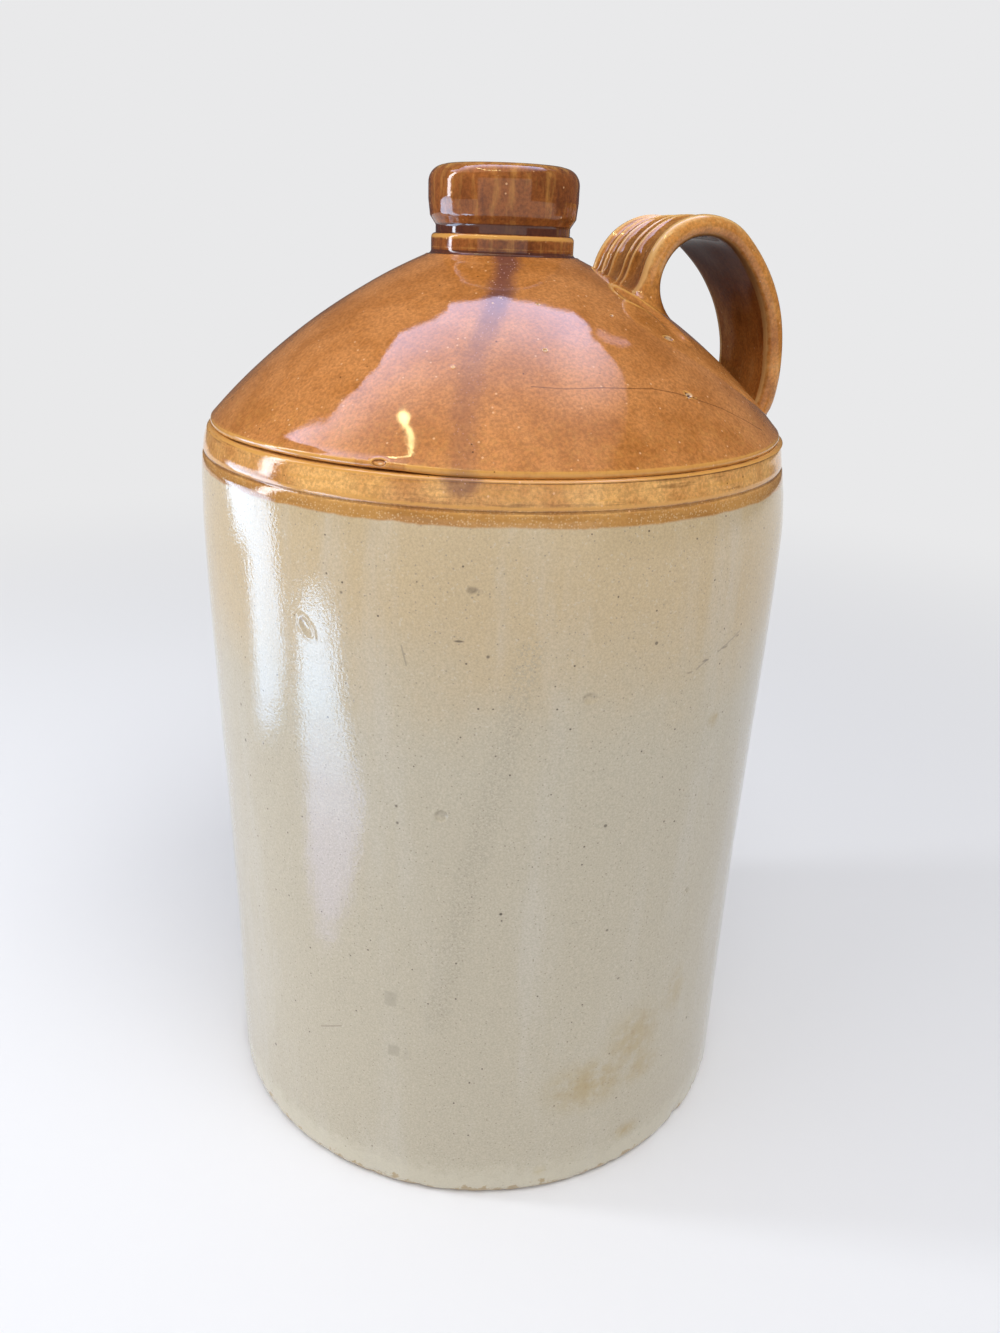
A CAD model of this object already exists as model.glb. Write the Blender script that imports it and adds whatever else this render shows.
"""Stoneware crock jug of three gallons, dressed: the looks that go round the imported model.

The barrel, shoulder, neck and collar are turned ring by ring, as on the wheel. The strap handle is swept along its
four arcs and its two roots are wiped down on to the shoulder. Lengths are in millimetres until a mesh is made.
"""
import logging
import math
from collections.abc import Callable, Sequence
from dataclasses import dataclass, field
from functools import cached_property
from typing import Any

import bpy
from mathutils import Matrix, Vector, noise


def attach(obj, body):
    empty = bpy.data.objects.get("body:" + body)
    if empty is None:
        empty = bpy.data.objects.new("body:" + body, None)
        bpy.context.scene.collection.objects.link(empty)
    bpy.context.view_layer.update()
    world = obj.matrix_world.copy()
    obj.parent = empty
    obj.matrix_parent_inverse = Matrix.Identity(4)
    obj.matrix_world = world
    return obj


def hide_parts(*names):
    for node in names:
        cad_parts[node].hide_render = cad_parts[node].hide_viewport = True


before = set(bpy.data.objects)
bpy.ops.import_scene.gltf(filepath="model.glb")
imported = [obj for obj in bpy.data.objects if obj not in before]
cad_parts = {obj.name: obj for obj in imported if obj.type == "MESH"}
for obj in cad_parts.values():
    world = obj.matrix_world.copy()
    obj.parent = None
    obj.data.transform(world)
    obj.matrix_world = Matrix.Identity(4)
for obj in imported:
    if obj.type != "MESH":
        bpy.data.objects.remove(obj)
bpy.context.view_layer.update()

LOG = logging.getLogger("crock_jug")
MM = 0.001
MERGE_GAP = 0.002 * MM
SHARP_ANGLE = 50.0

Point2 = tuple[float, float]
Socket = bpy.types.NodeSocket


# Small shared steps

def colour(code: str) -> tuple[float, float, float, float]:
    """Turns an sRGB hex code into the linear colour that a shader takes.

    Args:
        code: six hex digits after a hash sign.

    Returns:
        Linear red, green, blue and a full alpha.
    """
    parts = [int(code[i:i + 2], 16) / 255 for i in (1, 3, 5)]
    red, green, blue = (p / 12.92 if p <= 0.04045 else ((p + 0.055) / 1.055) ** 2.4 for p in parts)
    return red, green, blue, 1.0


def add_node(tree: bpy.types.NodeTree, kind: str, inputs: dict[str | int, Any] | None = None,
             out: str | int = 0, **settings: Any) -> Socket:
    """Adds one shader node with its settings, and fills or links its inputs.

    Args:
        tree: the node tree.
        kind: the node's type name without ShaderNode at its front.
        inputs: for each input, by name or number, a value or another node's output.
        out: the output that is wanted, by name or number.
        settings: the node's own properties.

    Returns:
        That output, or the first input of a node that has no outputs.
    """
    made = tree.nodes.new(f"ShaderNode{kind}")
    for key, value in settings.items():
        setattr(made, key, value)
    fill_inputs(made, inputs or {})
    return (made.outputs or made.inputs)[out]


def fill_inputs(node: bpy.types.Node, inputs: dict[str | int, Any]) -> None:
    """Sets each named or numbered input of a node to its value, or links it to its output of another node."""
    for key, value in inputs.items():
        if isinstance(value, Socket):
            node.id_data.links.new(value, node.inputs[key])
        else:
            node.inputs[key].default_value = value


def start_material(name: str, cleared: bool = False) -> tuple[bpy.types.Material, bpy.types.NodeTree, Socket]:
    """Makes a material with nodes.

    Args:
        name: the material's name.
        cleared: whether its first nodes are taken out.

    Returns:
        The material, its node tree and, as an output, the surface point in the object's own coordinates.
    """
    made = bpy.data.materials.new(name)
    made.use_nodes = True
    if cleared:
        made.node_tree.nodes.clear()
    return made, made.node_tree, add_node(made.node_tree, "TexCoord", out="Object")


def smooth_step(u: float) -> float:
    """Gives the smooth step of u, held between 0 and 1."""
    u = min(max(u, 0.0), 1.0)
    return u * u * (3 - 2 * u)


def arc(centre: Point2, radius: float, start: float, end: float, steps: int) -> list[Point2]:
    """Gives points on a circular arc.

    Args:
        centre: the arc's centre.
        radius: its radius.
        start: its first angle in degrees.
        end: its last angle in degrees.
        steps: the number of spans.

    Returns:
        steps + 1 points.
    """
    angles = [math.radians(start + (end - start) * i / steps) for i in range(steps + 1)]
    return [(centre[0] + radius * math.cos(a), centre[1] + radius * math.sin(a)) for a in angles]


def spaced(points: Sequence[Point2], gap: float) -> list[Point2]:
    """Puts more points on the long spans of a profile.

    Args:
        points: the profile's points.
        gap: the longest span that stays.

    Returns:
        The profile with no span longer than gap.
    """
    out = [points[0]]
    for (r_a, z_a), (r_b, z_b) in zip(points, points[1:]):
        count = max(1, math.ceil(math.hypot(r_b - r_a, z_b - z_a) / gap))
        out += [(r_a + (r_b - r_a) * i / count, z_a + (z_b - z_a) * i / count) for i in range(1, count + 1)]
    return out


def rest_alone(piece: bpy.types.Object) -> None:
    """Makes piece the only selected and the active object."""
    bpy.ops.object.select_all(action="DESELECT")
    piece.select_set(True)
    bpy.context.view_layer.objects.active = piece


def turned(name: str, profile: Sequence[Point2], segments: int) -> bpy.types.Object:
    """Spins a closed profile round the jug's axis.

    Args:
        name: the piece's name.
        profile: the closed profile's points as (radius, height). Its last line may lie on the axis.
        segments: the number of points in a ring.

    Returns:
        The turned piece.
    """
    bpy.ops.object.select_all(action="DESELECT")
    bpy.ops.mesh.primitive_circle_add(vertices=len(profile), radius=MM)
    piece = bpy.context.active_object
    piece.name = piece.data.name = name
    for vertex, (radius, height) in zip(piece.data.vertices, profile):
        vertex.co = (radius * MM, 0, height * MM)
        vertex.select = radius == 0
    for line in piece.data.edges:
        line.select = all(piece.data.vertices[v].select for v in line.vertices)
    bpy.ops.object.mode_set(mode="EDIT")
    if profile[0][0] == 0 == profile[-1][0]:
        bpy.ops.mesh.delete(type="EDGE")
    bpy.ops.mesh.select_all(action="SELECT")
    bpy.ops.mesh.spin(steps=segments, angle=math.tau, center=(0, 0, 0), axis=(0, 0, 1))
    bpy.ops.mesh.select_all(action="SELECT")
    bpy.ops.mesh.remove_doubles(threshold=MERGE_GAP)
    bpy.ops.mesh.dissolve_degenerate(threshold=MERGE_GAP)
    bpy.ops.mesh.normals_make_consistent(inside=False)
    bpy.ops.object.mode_set(mode="OBJECT")
    return piece


def moved(piece: bpy.types.Object, shift: Callable[[Vector], Vector]) -> None:
    """Presses the clay: every point of the piece goes where shift says.

    Args:
        piece: the piece.
        shift: gives a point's new place for its old one, both in millimetres.
    """
    for vertex in piece.data.vertices:
        vertex.co = shift(vertex.co / MM) * MM
    piece.data.update()


def smoothed(piece: bpy.types.Object, angle: float) -> None:
    """Shades the piece smooth, with an edge wherever it turns by more than angle degrees."""
    rest_alone(piece)
    bpy.ops.object.shade_smooth_by_angle(angle=math.radians(angle))


def mark_relief(piece: bpy.types.Object, reach: float, passes: int) -> None:
    """Stores where the glaze runs thin over an edge, above 0, and where it pools in a groove, below 0.

    Args:
        piece: the finished mesh.
        reach: the bend, in parts of a millimetre, that counts as a full edge.
        passes: how often the values are spread over their neighbours.
    """
    mesh = piece.data
    total = [0.0] * len(mesh.vertices)
    count = [0] * len(mesh.vertices)
    pairs = [tuple(edge.vertices) for edge in mesh.edges]
    for a, b in pairs:
        span = mesh.vertices[b].co - mesh.vertices[a].co
        size = max(span.length_squared, 1e-12)
        total[a] -= mesh.vertices[a].normal.dot(span) / size
        total[b] += mesh.vertices[b].normal.dot(span) / size
        count[a] += 1
        count[b] += 1
    value = [t / max(n, 1) * MM / reach for t, n in zip(total, count)]
    for _ in range(passes):
        spread = [v * 2 for v in value]
        weight = [2] * len(value)
        for a, b in pairs:
            spread[a] += value[b]
            spread[b] += value[a]
            weight[a] += 1
            weight[b] += 1
        value = [s / w for s, w in zip(spread, weight)]
    store(piece, "relief", [min(max(v, -1.0), 1.0) for v in value])


def store(piece: bpy.types.Object, name: str, values: Sequence[float]) -> None:
    """Stores one number for each point of a piece, under the name by which a glaze reads it."""
    piece.data.attributes.new(name, "FLOAT", "POINT").data.foreach_set("value", values)


def store_by(piece: bpy.types.Object, name: str, rule: Callable[[Vector], float]) -> None:
    """Stores for each point of a piece the number that rule gives for its place in millimetres."""
    store(piece, name, [rule(vertex.co / MM) for vertex in piece.data.vertices])


def add_relief(piece: bpy.types.Object, rule: Callable[[Vector], float]) -> None:
    """Adds to a piece's relief the number that rule gives for each point's place in millimetres."""
    for item, vertex in zip(piece.data.attributes["relief"].data, piece.data.vertices):
        item.value += rule(vertex.co / MM)


def on_jug(angle: float, radius: float, height: float) -> Vector:
    """Gives the place at an angle in degrees round the axis from the handle, a radius and a height."""
    turn = math.radians(angle)
    return Vector((radius * math.cos(turn), radius * math.sin(turn), height))


def line_gap(place: Vector, line: Sequence[Vector]) -> float:
    """Gives the distance from a place to the nearest point of a bent line."""
    nearest = math.inf
    for a, b in zip(line, line[1:]):
        along = b - a
        share = min(max((place - a).dot(along) / along.length_squared, 0.0), 1.0)
        nearest = min(nearest, (place - a - along * share).length)
    return nearest


def refine(piece: bpy.types.Object, centre: Vector, reach: float, cuts: int) -> None:
    """Divides the faces of a piece more finely near a place.

    Args:
        piece: the piece.
        centre: the place, in millimetres.
        reach: how far from it faces are divided.
        cuts: the cuts across each face.
    """
    rest_alone(piece)
    for face in piece.data.polygons:
        face.select = (face.center / MM - centre).length < reach
    for line in piece.data.edges:
        line.select = False
    for vertex in piece.data.vertices:
        vertex.select = False
    bpy.ops.object.mode_set(mode="EDIT")
    bpy.ops.mesh.select_mode(type="FACE")
    bpy.ops.mesh.subdivide(number_cuts=cuts, quadcorner="INNERVERT")
    bpy.ops.mesh.select_mode(type="VERT")
    bpy.ops.object.mode_set(mode="OBJECT")


@dataclass(frozen=True)
class Pit:
    """A small open bubble in the glaze: a hollow with a raised, thin rim.

    Attributes:
        place: its centre in millimetres.
        size: half its width.
        depth: how deep it is.
        stretch: how much longer it is along its slant than across.
        slant: the direction of its long side, in degrees above level.
    """

    place: Vector
    size: float
    depth: float
    stretch: float = 1.0
    slant: float = 0.0

    def push(self, at: Vector) -> float:
        """Gives how far a point is pushed in, or with a negative value drawn out."""
        level = Vector((-self.place.y, self.place.x, 0)).normalized()
        rest = at - self.place
        if rest.length > 4 * self.size * self.stretch:
            return 0.0
        across, rise = rest.dot(level), math.copysign((rest - level * rest.dot(level)).length, rest.z)
        turn = math.radians(self.slant)
        u = (across * math.cos(turn) + rise * math.sin(turn)) / (self.size * self.stretch)
        v = (rise * math.cos(turn) - across * math.sin(turn)) / self.size
        far = math.hypot(u, v)
        hollow = self.depth * max(1 - far ** 2, 0.0) ** 0.5 if far < 1 else 0.0
        return hollow - 0.22 * self.depth * math.exp(-((far - 1.25) / 0.3) ** 2)


def throwing_wobble(place: Vector, size: float, depth: float) -> float:
    """Gives the small unevenness of hand-thrown clay at a place.

    Args:
        place: the point, in millimetres.
        size: the width of one swell.
        depth: the most that a swell stands out.

    Returns:
        A distance from -depth to depth.
    """
    return depth * noise.noise(place / size)


# The shape of the vessel

@dataclass(frozen=True)
class VesselShape:
    """Outside and inside of the thrown vessel in millimetres, as the model's source has them."""

    barrel_r: float = 126.6
    band_draw: float = 4.7
    waist_draw: float = 1.3
    foot_draw: float = 0.6
    full_drop: float = 58.0
    waist_h: float = 90.0
    seam_h: float = 320.5
    wall_t: float = 9.0
    floor_t: float = 12.0
    foot_round: float = 5.0
    inner_round: float = 3.5
    seam_r: float = 119.6
    band_round: float = 2.0
    corner_round: float = 2.0
    corner_tuck: float = 0.6
    shoulder_sweep: float = 24.0
    shoulder_pitch: float = 36.81
    line_drop: float = 10.2
    line_depth: float = 0.7
    line_half_w: float = 0.9
    mouth_r: float = 18.5
    neck_foot_r: float = 31.0
    bead_r: float = 29.2
    neck_groove_r: float = 27.4
    neck_h: float = 9.4
    bead_round: float = 1.8
    neck_foot_round: float = 1.5
    collar_r: float = 30.4
    collar_h: float = 23.4
    collar_groove_h: float = 1.4
    collar_chamfer_h: float = 3.4
    collar_taper: float = 0.7
    lip_round: float = 6.4
    lip_inner_round: float = 5.0

    @cached_property
    def foot_r(self) -> float:
        """Radius above the foot's rounding."""
        return self.barrel_r - self.foot_draw

    @cached_property
    def inner_r(self) -> float:
        """Inside radius of the barrel's wall."""
        return self.barrel_r - self.waist_draw - self.wall_t

    @cached_property
    def lean(self) -> float:
        """Lean of the band where its rounding begins, in degrees."""
        return math.degrees(math.atan(3 * self.band_draw / (self.full_drop - self.band_round)))

    @cached_property
    def band(self) -> Point2:
        """Centre of the rounding of the band's upper edge."""
        lean = math.radians(self.lean)
        return self.barrel_r - self.band_draw - self.band_round * math.cos(lean), self.seam_h - self.band_round

    @cached_property
    def band_top(self) -> float:
        """Height at which that rounding begins."""
        return self.band[1] + self.band_round * math.sin(math.radians(self.lean))

    @cached_property
    def neck_z(self) -> float:
        """Height of the foot of the neck."""
        return self.seam_h + (self.seam_r - self.neck_foot_r) * math.tan(math.radians(self.shoulder_pitch))

    @cached_property
    def collar_z(self) -> float:
        """Height of the seat of the collar."""
        return self.neck_z + self.neck_h

    @cached_property
    def lip_z(self) -> float:
        """Height of the top of the lip."""
        return self.collar_z + self.collar_h

    @cached_property
    def corner_rise(self) -> float:
        """Height of the centre of the rounding of the shoulder's edge above the seam."""
        return math.sqrt(self.corner_round ** 2 - (self.corner_round - self.corner_tuck) ** 2)

    @cached_property
    def corner(self) -> Point2:
        """Centre of the rounding where the shoulder turns down to the seam."""
        return self.seam_r + self.corner_tuck - self.corner_round, self.seam_h + self.corner_rise

    @cached_property
    def arc_gap(self) -> tuple[float, float, float]:
        """From the corner's centre to the neck's foot: across, up and straight."""
        gap_r, gap_z = self.neck_foot_r - self.corner[0], self.neck_z - self.corner[1]
        return gap_r, gap_z, math.hypot(gap_r, gap_z)

    @cached_property
    def shoulder_arc_r(self) -> float:
        """Radius of the shoulder's long arc."""
        return self.arc_gap[2] / (2 * math.sin(math.radians(self.shoulder_sweep / 2)))

    @cached_property
    def arc_centre(self) -> Point2:
        """Centre of the shoulder's long arc, which runs on from the corner rounding to the foot of the neck."""
        gap_r, gap_z, gap = self.arc_gap
        unit = (gap_r / gap, gap_z / gap)
        inner = self.shoulder_arc_r - self.corner_round
        along = (inner ** 2 - self.shoulder_arc_r ** 2 + gap ** 2) / (2 * gap)
        across = math.sqrt(inner ** 2 - along ** 2)
        return (self.corner[0] + along * unit[0] - across * unit[1] * math.copysign(1, -unit[0]),
                self.corner[1] + along * unit[1] + across * unit[0] * math.copysign(1, -unit[0]))

    @cached_property
    def corner_end(self) -> Point2:
        """Point where the corner rounding runs into the long arc."""
        inner = self.shoulder_arc_r - self.corner_round
        return (self.corner[0] + self.corner_round * (self.corner[0] - self.arc_centre[0]) / inner,
                self.corner[1] + self.corner_round * (self.corner[1] - self.arc_centre[1]) / inner)

    def barrel_outside(self, z: float) -> float:
        """Gives the barrel's outside radius at height z: foot, waist, fullest place, then in to the band."""
        full_h = self.seam_h - self.full_drop
        waist_r = self.barrel_r - self.waist_draw
        if z < self.waist_h:
            u = (z - self.foot_round) / (self.waist_h - self.foot_round)
            return self.foot_r + (waist_r - self.foot_r) * (1 - math.cos(math.pi * u)) / 2
        if z < full_h:
            u = (z - self.waist_h) / (full_h - self.waist_h)
            return waist_r + (self.barrel_r - waist_r) * (1 - math.cos(math.pi * u)) / 2
        return self.barrel_r - self.band_draw * ((z - full_h) / (self.band_top - full_h)) ** 3

    def outside(self, z: float) -> float:
        """Gives the outside radius of barrel and shoulder at height z."""
        if z < self.band_top:
            return self.barrel_outside(z)
        if z < self.seam_h:
            return self.band[0] + math.sqrt(self.band_round ** 2 - (z - self.band[1]) ** 2)
        if z < self.corner_end[1]:
            return self.corner[0] + math.sqrt(self.corner_round ** 2 - (z - self.corner[1]) ** 2)
        rise = min(z, self.neck_z) - self.arc_centre[1]
        return self.arc_centre[0] + math.sqrt(self.shoulder_arc_r ** 2 - rise ** 2)

    def shoulder_height(self, r: float) -> float:
        """Gives the height of the shoulder's outer face at distance r from the axis."""
        return self.arc_centre[1] + math.sqrt(self.shoulder_arc_r ** 2 - (r - self.arc_centre[0]) ** 2)

    def angle_on_arc(self, place: Point2) -> float:
        """Gives the angle in degrees at which a place lies round the centre of the long arc."""
        return math.degrees(math.atan2(place[1] - self.arc_centre[1], place[0] - self.arc_centre[0]))


SHAPE = VesselShape()


# Finishes

@dataclass(frozen=True)
class Mark:
    """One small mark of the firing or of use, at a place on the jug's outside.

    Attributes:
        angle: degrees round the axis from the handle.
        height: height above the rest face in millimetres.
        radius: distance from the axis in millimetres.
        size: half the mark's width in millimetres.
        strength: how strongly it shows, from 0 to 1.
        stretch: how much longer it is round the jug than up it.
    """

    angle: float
    height: float
    radius: float
    size: float
    strength: float = 1.0
    stretch: float = 1.0

    @property
    def place(self) -> Vector:
        """The mark's centre in metres."""
        return on_jug(self.angle, self.radius, self.height) * MM


def mark_mask(tree: bpy.types.NodeTree, place: Socket, marks: Sequence[Mark], soft: float,
              square: bool = False) -> Socket:
    """Joins several marks into one mask.

    Args:
        tree: the node tree.
        place: the surface point.
        marks: the marks.
        soft: the share of each mark over which it fades out.
        square: whether the marks have straight edges.

    Returns:
        An output that is 1 in a full mark and 0 outside all of them.
    """
    joined: Socket | float = 0.0
    for mark in marks:
        half, turn = mark.size * MM, math.radians(mark.angle)
        mapped = add_node(tree, "Mapping", {"Vector": place, "Location": mark.place, "Rotation": (0, 0, turn),
                                            "Scale": (half, half * mark.stretch, half)}, vector_type="TEXTURE")
        if square:
            away = add_node(tree, "VectorMath", {0: mapped}, operation="ABSOLUTE")
            parts = add_node(tree, "SeparateXYZ", {0: away}).node.outputs
            far = add_node(tree, "Math", {0: parts["Y"], 1: parts["Z"]}, operation="MAXIMUM")
            aside = add_node(tree, "Math", {0: parts["X"], 1: 0.5}, operation="MULTIPLY")
            far = add_node(tree, "Math", {0: far, 1: aside}, operation="MAXIMUM")
        else:
            far = add_node(tree, "VectorMath", {0: mapped}, out="Value", operation="LENGTH")
        here = level(tree, far, 1.0, 1.0 - soft, (0.0, mark.strength))
        joined = add_node(tree, "Math", {0: joined, 1: here}, operation="MAXIMUM")
    return joined


def stroke_mask(tree: bpy.types.NodeTree, place: Socket, line: Sequence[Point2], half_w: float,
                radius: float = 126.0, slant: float = 1.0) -> Socket:
    """Makes a mask of a thin bent line on the jug's outside.

    Args:
        tree: the node tree.
        place: the surface point.
        line: the line's points as (degrees round the axis from the handle, height in millimetres).
        half_w: half its width in millimetres.
        radius: the jug's radius near the line in millimetres.
        slant: how much further a way up the surface is than its rise.

    Returns:
        An output that is 1 on the line and 0 off it.
    """
    parts = add_node(tree, "SeparateXYZ", {0: place}).node.outputs
    turn = add_node(tree, "Math", {0: parts["Y"], 1: parts["X"]}, operation="ARCTAN2")
    flat = add_node(tree, "CombineXYZ", {"X": turn, "Y": parts["Z"]})
    flat = add_node(tree, "VectorMath", {0: flat, 1: (radius * MM, slant, 0)}, operation="MULTIPLY")
    joined: Socket | float = 0.0
    points = [Vector((math.radians(angle) * radius, height * slant, 0)) * MM for angle, height in line]
    for start, end in zip(points, points[1:]):
        along = end - start
        rest = add_node(tree, "VectorMath", {0: flat, 1: start}, operation="SUBTRACT")
        dot = add_node(tree, "VectorMath", {0: rest, 1: along / along.length_squared}, out="Value",
                       operation="DOT_PRODUCT")
        share = add_node(tree, "Clamp", {"Value": dot})
        foot = add_node(tree, "VectorMath", {0: along, "Scale": share}, operation="SCALE")
        gap = add_node(tree, "VectorMath", {0: rest, 1: foot}, out="Value", operation="DISTANCE")
        here = level(tree, gap, half_w * MM * 1.5, half_w * MM * 0.5)
        joined = add_node(tree, "Math", {0: joined, 1: here}, operation="MAXIMUM")
    return joined


def dots(tree: bpy.types.NodeTree, place: Socket, gap_mm: float, size_mm: float, share: float) -> Socket:
    """Makes a mask of small scattered dots.

    Args:
        tree: the node tree.
        place: the surface point.
        gap_mm: the mean distance between dots.
        size_mm: the radius of a dot.
        share: the share of all places that has a dot.

    Returns:
        An output that is 1 in a dot.
    """
    cells = add_node(tree, "TexVoronoi", {"Vector": place, "Scale": 1 / (gap_mm * MM)}).node
    far = size_mm / gap_mm
    dot = level(tree, cells.outputs["Distance"], far * 1.3, far * 0.6)
    pick = add_node(tree, "SeparateColor", {"Color": cells.outputs["Color"]})
    chosen = add_node(tree, "Math", {0: pick, 1: share}, operation="LESS_THAN")
    return add_node(tree, "Math", {0: dot, 1: chosen}, operation="MULTIPLY")


def tinted(tree: bpy.types.NodeTree, share: Socket, below: Socket, code: str, most: float = 1.0) -> Socket:
    """Lays a colour over another.

    Args:
        tree: the node tree.
        share: where the new colour lies.
        below: the colour beneath.
        code: the new colour's hex code.
        most: how far it covers at most.

    Returns:
        The mixed colour.
    """
    held = add_node(tree, "Math", {0: share, 1: most}, operation="MULTIPLY")
    return add_node(tree, "Mix", {"Factor": held, 6: below, 7: colour(code)}, out=2, data_type="RGBA")


def level(tree: bpy.types.NodeTree, value: Socket, low: float, high: float, to: Point2 = (0.0, 1.0)) -> Socket:
    """Spreads the part of a value from low to high over the range that to gives, with soft ends."""
    return add_node(tree, "MapRange", {"Value": value, "From Min": low, "From Max": high, "To Min": to[0],
                                       "To Max": to[1]}, interpolation_type="SMOOTHSTEP")


def cloud(tree: bpy.types.NodeTree, place: Socket, size_mm: float, detail: float = 3.0,
          squash: tuple[float, float, float] = (1.0, 1.0, 1.0)) -> Socket:
    """Makes a noise of swells about size_mm wide, which squash makes finer along an axis."""
    laid = add_node(tree, "VectorMath", {0: place, 1: squash}, operation="MULTIPLY")
    return add_node(tree, "TexNoise", {"Vector": laid, "Scale": 1 / (size_mm * MM), "Detail": detail,
                                       "Roughness": 0.62}, out="Fac")


@dataclass(frozen=True)
class BrownGlaze:
    """Iron-brown glaze, dipped and fired: honey where it runs thin over an edge, umber where it pools.

    The melt leaves fine mottling about a millimetre across, pale pinholes, dark iron specks and a wet gloss.
    """

    amber: str = "#c18047"
    rust: str = "#ac6c33"
    honey: str = "#d39a4e"
    umber: str = "#4a2412"
    speck: str = "#3f2010"
    fleck: str = "#e0b07e"
    rim: str = "#e8cba4"
    run: str = "#623a3a"
    run_fleck: str = "#c99d93"
    line: str = "#56301a"
    deep: str = "#3a1710"
    roughness: float = 0.05
    swell_mm: float = 26.0
    mottle_mm: float = 1.25
    streak_mm: float = 7.0
    squash: tuple[float, float, float] = (1.0, 1.0, 1.0)  # finer along an axis where above 1
    streaks: float = 0.0
    pooled: float = 0.75
    cracks: tuple[tuple[Point2, ...], ...] = ()
    rims: tuple[Mark, ...] = ()
    hollows: tuple[Mark, ...] = ()
    has_inner_face: bool = False

    def layers(self, tree: bpy.types.NodeTree, place: Socket, relief: Socket) -> tuple[Socket, Socket]:
        """Builds the glaze's colour and the height of its skin.

        Args:
            tree: the node tree.
            place: the surface point.
            relief: where the glaze runs thin or pools.

        Returns:
            The colour and the height, as outputs.
        """
        mottle = cloud(tree, place, self.mottle_mm, 4.0)
        tint = add_node(tree, "Mix", {"Factor": level(tree, cloud(tree, place, self.swell_mm, 5.0), 0.35, 0.65),
                                      6: colour(self.rust), 7: colour(self.amber)}, out=2, data_type="RGBA")
        grain = level(tree, mottle, 0.3, 0.7, (0.76, 1.2))
        tint = add_node(tree, "VectorMath", {0: tint, "Scale": grain}, operation="SCALE")
        if self.streaks:
            drawn = cloud(tree, place, self.streak_mm, 5.0, self.squash)
            tint = tinted(tree, level(tree, drawn, 0.52, 0.7), tint, self.honey, self.streaks)
            tint = tinted(tree, level(tree, drawn, 0.48, 0.32), tint, self.umber, self.streaks)
        uneven = add_node(tree, "Math", {0: cloud(tree, place, 2.6), 1: 0.5, 2: relief}, operation="MULTIPLY_ADD")
        tint = tinted(tree, level(tree, uneven, 0.4, 0.85), tint, self.honey, 0.95)
        tint = tinted(tree, level(tree, uneven, 0.12, -0.35), tint, self.umber, self.pooled)
        run = add_node(tree, "Attribute", out="Fac", attribute_name="run")
        tint = tinted(tree, run, tint, self.run, 0.8)
        sparks = add_node(tree, "Math", {0: dots(tree, place, 1.15, 0.24, 0.6), 1: run}, operation="MULTIPLY")
        tint = tinted(tree, sparks, tint, self.run_fleck, 0.9)
        tint = tinted(tree, dots(tree, place, 3.4, 0.42, 0.3), tint, self.fleck, 0.8)
        tint = tinted(tree, dots(tree, place, 4.7, 0.36, 0.22), tint, self.speck, 0.85)
        if self.rims:
            tint = tinted(tree, mark_mask(tree, place, self.rims, 0.5), tint, self.rim, 0.9)
        if self.hollows:
            tint = tinted(tree, mark_mask(tree, place, self.hollows, 0.5), tint, self.umber)
        for crack in self.cracks:
            tint = tinted(tree, stroke_mask(tree, place, crack, 0.24, 98.0, 1.67), tint, self.line, 0.65)
        if self.has_inner_face:
            inner = add_node(tree, "Attribute", out="Fac", attribute_name="inner")
            rise = add_node(tree, "SeparateXYZ", {0: place}, out="Z")
            shade = add_node(tree, "Math", {0: inner, 1: level(tree, rise, 0.335, 0.4, (0.2, 0.92))},
                             operation="MULTIPLY")
            tint = tinted(tree, shade, tint, self.deep)
        return tint, mottle

    def material(self, name: str) -> bpy.types.Material:
        """Builds the glaze as a material of its own.

        Args:
            name: the material's name.

        Returns:
            The material.
        """
        made, tree, place = start_material(name)
        relief = add_node(tree, "Attribute", out="Fac", attribute_name="relief")
        tint, height = self.layers(tree, place, relief)
        rippled = add_node(tree, "Math", {0: cloud(tree, place, 6.0, 1.0), 1: 2.0, 2: height},
                           operation="MULTIPLY_ADD")
        bump = add_node(tree, "Bump", {"Strength": 0.2, "Distance": 0.05 * MM, "Height": rippled})
        shader = tree.nodes["Principled BSDF"]
        fill_inputs(shader, {"Base Color": tint, "Normal": bump, "Roughness": self.roughness})
        if self.has_inner_face:
            inner = add_node(tree, "Attribute", out="Fac", attribute_name="inner")
            fill_inputs(shader, {"Specular IOR Level": level(tree, inner, 0.0, 1.0, (0.5, 0.02))})
        return made


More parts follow.
